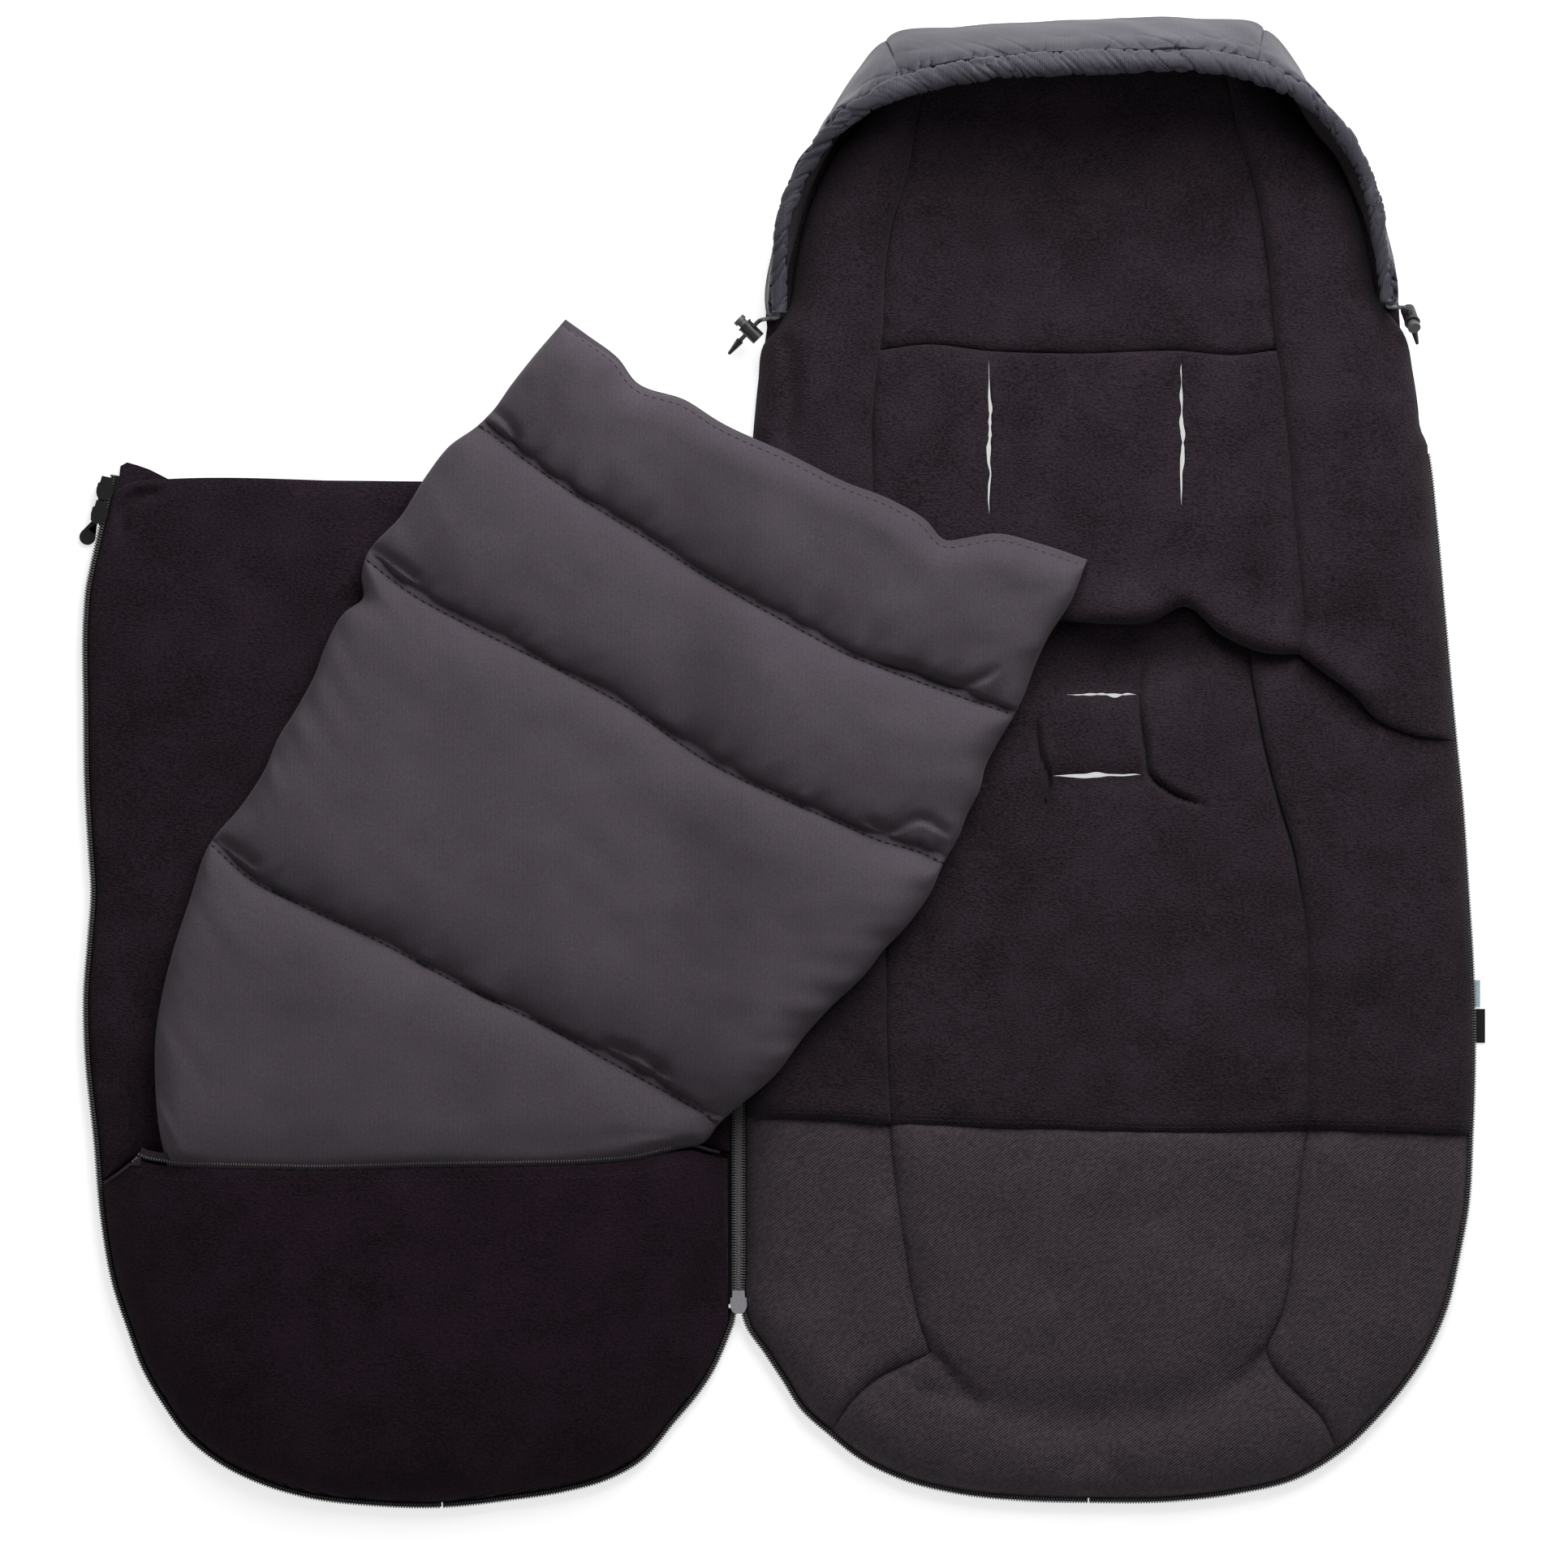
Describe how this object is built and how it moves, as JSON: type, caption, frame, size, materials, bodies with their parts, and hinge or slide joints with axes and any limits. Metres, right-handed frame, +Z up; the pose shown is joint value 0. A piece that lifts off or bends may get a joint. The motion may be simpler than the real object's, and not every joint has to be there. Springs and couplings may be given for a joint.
{
  "type": "stroller footmuff",
  "caption": "Padded stroller footmuff laid open: hooded liner with harness slots, zipped cover turned over at its side, and a quilted insert with its tail in the cover's pocket.",
  "frame": {"origin": "on the liner's flat underside, where the seat meets the back, between the rows of harness slots", "axes": "+Y along the liner towards the hood, +X across towards the liner's free side, away from the cover, +Z up out of the fleece side"},
  "size_m": [0.8659, 0.9175, 0.104],
  "materials": {
    "liner_fleece": "matt fleece pile",
    "cover_fleece": "matt smooth fleece",
    "grey_twill": "matt twill weave",
    "hood_cloth": "smooth satin shell cloth",
    "insert_cloth": "matt brushed cloth",
    "zip_black": "woven tape and nylon coil",
    "slider_silver": "satin",
    "slider_black": "satin enamel",
    "lock_plastic": "moulded",
    "button_plastic": "moulded",
    "spring_steel": "bright wire",
    "flecked_elastic": "braided elastic with light flecks",
    "ribbon_black": "woven ribbon",
    "ribbon_blue": "woven ribbon"
  },
  "bodies": {
    "liner": {"liner_backing": "grey_twill", "head_pad": "liner_fleece", "head_side_left": "liner_fleece", "head_side_right": "liner_fleece", "back_pad": "liner_fleece", "back_side_left": "liner_fleece", "back_side_right": "liner_fleece", "seat_pad": "liner_fleece", "seat_side_left": "liner_fleece", "seat_side_right": "liner_fleece", "foot_panel": "grey_twill", "foot_side_left": "grey_twill", "foot_side_right": "grey_twill", "toe_pad": "grey_twill", "liner_zip_left": "zip_black", "liner_zip_right": "zip_black", "cover_zip_side": "zip_black", "tag_black": "ribbon_black", "tag_blue": "ribbon_blue", "hood_side_left": "hood_cloth", "hood_top": "hood_cloth", "hood_side_right": "hood_cloth", "hood_lining": "liner_fleece", "hood_rim": "hood_cloth", "drawcord": "flecked_elastic", "cord_end_left": "lock_plastic", "cord_end_right": "lock_plastic"},
    "cover": {"cover_shell": "grey_twill", "cover_lining": "cover_fleece", "pocket_panel": "cover_fleece", "pocket_zip_panel": "zip_black", "pocket_zip_lining": "zip_black", "cover_zip_free": "zip_black", "cover_zip_foot": "zip_black", "insert_pad": "insert_cloth"},
    "side_slider": {"side_zip_slider": "slider_silver"},
    "side_pull": {"side_zip_pull": "slider_silver"},
    "free_slider_upper": {"zip_slider_upper": "slider_black"},
    "free_pull_upper": {"zip_pull_upper": "slider_black"},
    "free_slider_lower": {"zip_slider_lower": "slider_black"},
    "free_pull_lower": {"zip_pull_lower": "slider_black"},
    "lock_left": {"cord_lock_left": "lock_plastic", "cord_lock_spring_left": "spring_steel"},
    "button_left": {"cord_lock_button_left": "button_plastic"},
    "lock_right": {"cord_lock_right": "lock_plastic", "cord_lock_spring_right": "spring_steel"},
    "button_right": {"cord_lock_button_right": "button_plastic"}
  },
  "joints": [
    {"name": "cover_fold", "type": "hinge", "parent": "liner", "child": "cover", "pos_m": [-0.2234, -0.14, 0.0088], "axis": [0, 1, 0], "range_deg": [0, 110], "deforming": ["insert_pad"]},
    {"name": "side_slider_slide", "type": "slide", "parent": "liner", "child": "side_slider", "axis": [0, 1, 0], "range_m": [0, 0.48]},
    {"name": "side_pull_swing", "type": "hinge", "parent": "side_slider", "child": "side_pull", "pos_m": [-0.215, -0.3886, 0.00205], "axis": [-1, 0, 0], "range_deg": [0, 100]},
    {"name": "upper_slider_slide", "type": "slide", "parent": "cover", "child": "free_slider_upper", "axis": [-0.2205, -0.9754, 0], "range_m": [0, 0.008]},
    {"name": "upper_pull_swing", "type": "hinge", "parent": "free_slider_upper", "child": "free_pull_upper", "pos_m": [-0.60468, 0.11568, 0.00205], "axis": [0.9754, -0.2205, 0], "range_deg": [0, 100]},
    {"name": "lower_slider_slide", "type": "slide", "parent": "free_slider_upper", "child": "free_slider_lower", "axis": [-0.2205, -0.9754, 0], "range_m": [0, 0.02]},
    {"name": "lower_pull_swing", "type": "hinge", "parent": "free_slider_lower", "child": "free_pull_lower", "pos_m": [-0.60803, 0.10086, 0.00205], "axis": [0.9008, -0.4342, 0], "range_deg": [0, 100]},
    {"name": "lock_left_slide", "type": "slide", "parent": "liner", "child": "lock_left", "axis": [-0.5656, -0.5892, -0.577], "range_m": [-0.003, 0.003]},
    {"name": "button_left_press", "type": "slide", "parent": "lock_left", "child": "button_left", "axis": [0.7116, -0.7023, 0.0196], "range_m": [0, 0.002], "stiffness_N_per_m": 300, "deforming": ["cord_lock_spring_left"]},
    {"name": "lock_right_slide", "type": "slide", "parent": "liner", "child": "lock_right", "axis": [0.2212, -0.6637, -0.7146], "range_m": [-0.003, 0.003]},
    {"name": "button_right_press", "type": "slide", "parent": "lock_right", "child": "button_right", "axis": [-0.226, 0.6779, -0.6996], "range_m": [0, 0.002], "stiffness_N_per_m": 300, "deforming": ["cord_lock_spring_right"]}
  ]
}
